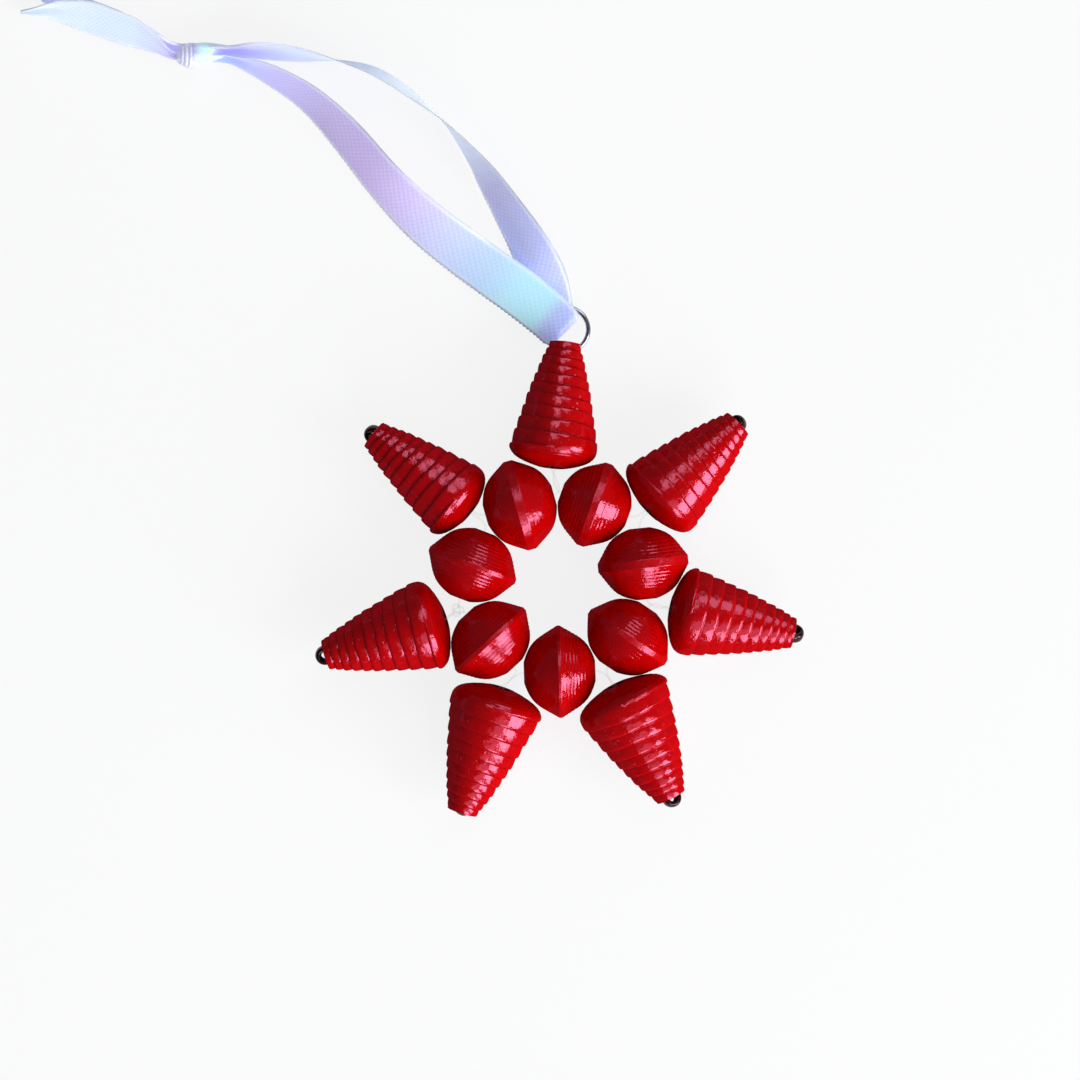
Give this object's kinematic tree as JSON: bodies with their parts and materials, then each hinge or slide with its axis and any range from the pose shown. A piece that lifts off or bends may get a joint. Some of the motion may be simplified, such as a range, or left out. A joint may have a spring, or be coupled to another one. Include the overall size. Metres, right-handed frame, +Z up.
{
  "type": "paper bead starburst ornament",
  "caption": "Flat starburst of rolled red paper beads strung on clear thread, with seed-bead tips, a jump ring at the top point and a satin ribbon to hang it by.",
  "frame": {"origin": "on the table, under the middle of the beads' and jump ring's box, leaving the ribbon out", "axes": "+Z up, out of the star's face; +Y towards the point that carries the jump ring; +X to the right as seen from above"},
  "size_m": [0.1124, 0.1179, 0.0134],
  "materials": {
    "lacquered_paper": "deep red rolled paper under clear gloss lacquer",
    "garnet_glass": "dark garnet glass, polished",
    "clear_nylon": "clear nylon thread",
    "silver_wire": "bright silver-plated wire",
    "satin_ribbon": "pale blue to lavender iridescent satin"
  },
  "bodies": {
    "strung_thread": {"stringing_thread": "clear_nylon", "thread_knot": "clear_nylon", "stop_bead_2": "garnet_glass", "stop_bead_3": "garnet_glass", "stop_bead_4": "garnet_glass", "stop_bead_5": "garnet_glass", "stop_bead_6": "garnet_glass", "stop_bead_7": "garnet_glass"},
    "ray_1": {"ray_bead_1": "lacquered_paper"},
    "ray_2": {"ray_bead_2": "lacquered_paper"},
    "ray_3": {"ray_bead_3": "lacquered_paper"},
    "ray_4": {"ray_bead_4": "lacquered_paper"},
    "ray_5": {"ray_bead_5": "lacquered_paper"},
    "ray_6": {"ray_bead_6": "lacquered_paper"},
    "ray_7": {"ray_bead_7": "lacquered_paper"},
    "ring_1": {"ring_bead_1": "lacquered_paper"},
    "ring_2": {"ring_bead_2": "lacquered_paper"},
    "ring_3": {"ring_bead_3": "lacquered_paper"},
    "ring_4": {"ring_bead_4": "lacquered_paper"},
    "ring_5": {"ring_bead_5": "lacquered_paper"},
    "ring_6": {"ring_bead_6": "lacquered_paper"},
    "ring_7": {"ring_bead_7": "lacquered_paper"},
    "hanger": {"jump_ring": "silver_wire", "ribbon_loop": "satin_ribbon", "ribbon_knot": "satin_ribbon", "ribbon_tail_1": "satin_ribbon", "ribbon_tail_2": "satin_ribbon"}
  },
  "joints": [
    {"name": "ray_1_spin", "type": "hinge", "parent": "strung_thread", "child": "ray_1", "pos_m": [-0.00092, 0.01535, 0.00628], "axis": [0.1041, 0.9907, -0.0872], "continuous": true},
    {"name": "ray_2_spin", "type": "hinge", "parent": "strung_thread", "child": "ray_2", "pos_m": [0.01395, 0.00858, 0.00646], "axis": [0.7178, 0.6908, -0.0872], "continuous": true},
    {"name": "ray_3_spin", "type": "hinge", "parent": "strung_thread", "child": "ray_3", "pos_m": [0.01778, -0.00717, 0.00625], "axis": [0.9765, -0.1969, -0.0872], "continuous": true},
    {"name": "ray_4_spin", "type": "hinge", "parent": "strung_thread", "child": "ray_4", "pos_m": [0.00872, -0.01951, 0.00689], "axis": [0.4507, -0.8884, -0.0872], "continuous": true},
    {"name": "ray_5_spin", "type": "hinge", "parent": "strung_thread", "child": "ray_5", "pos_m": [-0.00896, -0.02001, 0.00665], "axis": [-0.2996, -0.9501, -0.0872], "continuous": true},
    {"name": "ray_6_spin", "type": "hinge", "parent": "strung_thread", "child": "ray_6", "pos_m": [-0.01819, -0.00885, 0.00646], "axis": [-0.9542, -0.2863, -0.0872], "continuous": true},
    {"name": "ray_7_spin", "type": "hinge", "parent": "strung_thread", "child": "ray_7", "pos_m": [-0.01427, 0.00832, 0.00573], "axis": [-0.7818, 0.6174, -0.0872], "continuous": true},
    {"name": "ring_1_spin", "type": "hinge", "parent": "strung_thread", "child": "ring_1", "pos_m": [0.00498, 0.00805, 0.00613], "axis": [0.9421, -0.3355, 0], "continuous": true},
    {"name": "ring_2_spin", "type": "hinge", "parent": "strung_thread", "child": "ring_2", "pos_m": [0.01189, -0.00038, 0.00639], "axis": [0.1028, -0.9947, 0], "continuous": true},
    {"name": "ring_3_spin", "type": "hinge", "parent": "strung_thread", "child": "ring_3", "pos_m": [0.00969, -0.01087, 0.00645], "axis": [-0.5548, -0.832, 0], "continuous": true},
    {"name": "ring_4_spin", "type": "hinge", "parent": "strung_thread", "child": "ring_4", "pos_m": [-0.00003, -0.01581, 0.00645], "axis": [-0.9995, -0.0332, 0], "continuous": true},
    {"name": "ring_5_spin", "type": "hinge", "parent": "strung_thread", "child": "ring_5", "pos_m": [-0.00989, -0.01129, 0.00645], "axis": [-0.6756, 0.7373, 0], "continuous": true},
    {"name": "ring_6_spin", "type": "hinge", "parent": "strung_thread", "child": "ring_6", "pos_m": [-0.01247, -0.00058, 0.00645], "axis": [0.3584, 0.9336, 0], "continuous": true},
    {"name": "ring_7_spin", "type": "hinge", "parent": "strung_thread", "child": "ring_7", "pos_m": [-0.00571, 0.00796, 0.00645], "axis": [0.9627, 0.2706, 0], "continuous": true},
    {"name": "hanger_swing", "type": "hinge", "parent": "strung_thread", "child": "hanger", "pos_m": [0.00063, 0.03011, 0.00105], "axis": [0.9945, -0.1045, 0], "range_deg": [0, 40]}
  ]
}
